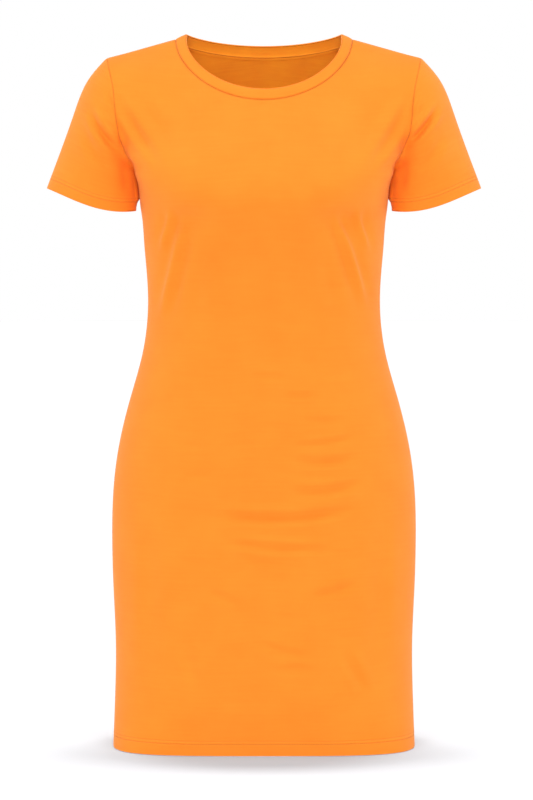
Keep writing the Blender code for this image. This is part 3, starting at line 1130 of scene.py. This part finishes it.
bmesh.ops.remove_doubles(turning, verts=turning.verts[:], dist=MERGE_DISTANCE)
tree = KDTree(len(ring))
for index, place in enumerate(ring):
    tree.insert(place[1], index)
tree.balance()
lining = bmesh.ops.extrude_face_region(turning, geom=turning.faces[:], use_keep_orig=True)
for vertex in lining["geom"]:
    if isinstance(vertex, bmesh.types.BMVert):
        vertex.co += ring[tree.find(vertex.co)[1]][2] * TURNING_THICK
bmesh.ops.recalc_face_normals(turning, faces=turning.faces[:])
corners = [edge for edge in turning.edges if edge.calc_face_angle(0.0) > SHARP]
round_edges(turning, corners, TURNING_ROUND)
neck_seam_turning = finished_piece("neck_seam_turning", turning)
turning_mesh = neck_seam_turning.data
turning_mesh.materials.append(neckband_jersey)
# The turning takes the lighter inside orange, painted light, and lies far enough from any seam to
# get no painted seam shade.
for name in ("to_seam", "inside"):
    attribute = turning_mesh.attributes.new(name, "FLOAT", "POINT")
    attribute.data.foreach_set("value", [1.0] * len(turning_mesh.vertices))
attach(neck_seam_turning, "root")


# ---------------------------------------------------------------------------
# Studio
# A white room with a pale floor a little below the hem. Soft lights stand overhead, in
# front, behind and at each side, and narrow ones reach the hem. The camera stands where
# the photograph was taken from.

FLOOR_HEIGHT = -0.8766
FLOOR_RADIUS = 14.0
PAPER = (0.196, 0.200, 0.206, 1.0)
WHITE = (1.0, 1.0, 1.0, 1.0)
ROOM_LIGHT = 0.34

studio = bpy.context.scene
studio.view_settings.view_transform = "Standard"

ground = bmesh.new()
bmesh.ops.create_circle(ground, cap_ends=True, segments=96, radius=FLOOR_RADIUS)
bmesh.ops.translate(ground, verts=ground.verts, vec=(0.0, 0.0, FLOOR_HEIGHT))
floor_mesh = bpy.data.meshes.new("floor")
ground.to_mesh(floor_mesh)
ground.free()
floor = bpy.data.objects.new("floor", floor_mesh)
studio.collection.objects.link(floor)
paper = Shading(bpy.data.materials.new("white_paper"))
paper_shader = paper.add(
    "ShaderNodeBsdfPrincipled",
    sockets={"Base Color": PAPER, "Roughness": 0.9, "Specular IOR Level": 0.0},
)
paper.add("ShaderNodeOutputMaterial", sockets={"Surface": paper_shader})
floor_mesh.materials.append(paper.owner)

# The room is white to look at, and lights the dress a little less than that.
room = Shading(bpy.data.worlds.new("white_room"))
seen = room.add("ShaderNodeLightPath", output=0)
lit = room.add("ShaderNodeBackground", sockets={"Color": WHITE, "Strength": ROOM_LIGHT})
white = room.add("ShaderNodeBackground", sockets={"Color": WHITE, "Strength": 1.0})
walls = room.add("ShaderNodeMixShader", sockets={0: seen, 1: lit, 2: white})
room.add("ShaderNodeOutputWorld", sockets={"Surface": walls})
studio.world = room.owner

# The lamps that light the dress leave out the floor, and those that light the floor leave
# out the dress.
all_but_floor = bpy.data.collections.new("all_but_floor")
all_but_floor.objects.link(floor)
all_but_floor.collection_objects[0].light_linking.link_state = "EXCLUDE"
floor_alone = bpy.data.collections.new("floor_alone")
floor_alone.objects.link(floor)


def add_lamp(light, place, towards, power, lights):
    light.energy = power
    lamp = bpy.data.objects.new(light.name, light)
    lamp.location = place
    aim = Vector(towards) - Vector(place)
    lamp.rotation_euler = aim.to_track_quat("-Z", "Y").to_euler()
    lamp.light_linking.receiver_collection = lights
    studio.collection.objects.link(lamp)
    return lamp


def add_soft_light(name, place, towards, width, height, power):
    light = bpy.data.lights.new(name, "AREA")
    light.shape = "RECTANGLE"
    light.size, light.size_y = width, height
    add_lamp(light, place, towards, power, all_but_floor)


UNDER_BUST = (0.0, 0.0, -0.30)
WAIST = (0.0, 0.0, -0.35)
BELLY = (0.0, 0.0, -0.40)
BELOW_HEM = (0.0, 0.0, -0.935)
add_soft_light("overhead", (0.0, -0.8, 2.6), UNDER_BUST, 2.4, 1.6, 61.0)
add_soft_light("front_fill", (0.0, -4.2, 0.5), WAIST, 1.6, 1.2, 108.0)
add_soft_light("back_fill", (0.0, 4.2, 0.7), WAIST, 1.6, 1.2, 118.0)
for side, name in ((LEFT, "left"), (RIGHT, "right")):
    add_soft_light("edge_" + name, (side * 2.5, 0.4, 0.1), BELLY, 1.2, 2.2, 28.0)
for facing, name in ((FRONT, "front_hem"), (BACK, "back_hem")):
    hem_light = bpy.data.lights.new(name, "SPOT")
    hem_light.spot_size, hem_light.spot_blend = math.radians(9.0), 0.9
    hem_light.shadow_soft_size = 0.3
    add_lamp(hem_light, (0.0, facing * 4.2, -0.3), BELOW_HEM, 140.0, all_but_floor)

# Soft lamps high above light the floor alone. The body of the dress stands in the way of
# three of them, and the two behind it leave the soft shadow in front of the hem.
FLOOR_CENTRE = (0.0, 0.0, 0.0)
in_the_way = bpy.data.collections.new("in_the_way")
for panel in (front_cloth, back_cloth):
    in_the_way.objects.link(panel)
for name, place, power, blockers in (
    ("above_behind_left", (0.15, 0.35, 3.0), 3.6, in_the_way),
    ("above_behind_right", (-0.15, 0.35, 3.0), 3.6, in_the_way),
    ("above_in_front", (0.0, -0.12, 3.0), 3.0, in_the_way),
    ("above", (0.0, 0.0, 3.0), 5.0, floor_alone),
):
    floor_light = bpy.data.lights.new(name, "SUN")
    floor_light.angle = math.radians(7.0)
    lamp = add_lamp(floor_light, place, FLOOR_CENTRE, power, floor_alone)
    lamp.light_linking.blocker_collection = blockers

# The camera stands level with the bust, 4 m away, and looks down a little.
CAMERA_PLACE = (0.0031, -4.0, -0.20)
LOOKS_DOWN = math.atan(0.2477 / 4.0)
camera = bpy.data.objects.new("camera", bpy.data.cameras.new("camera"))
camera.data.sensor_fit = "VERTICAL"
camera.data.sensor_height = 36.0
camera.data.lens = 144.5
camera.location = CAMERA_PLACE
camera.rotation_euler = (math.radians(90.0) - LOOKS_DOWN, 0.0, 0.0)
studio.collection.objects.link(camera)
studio.camera = camera
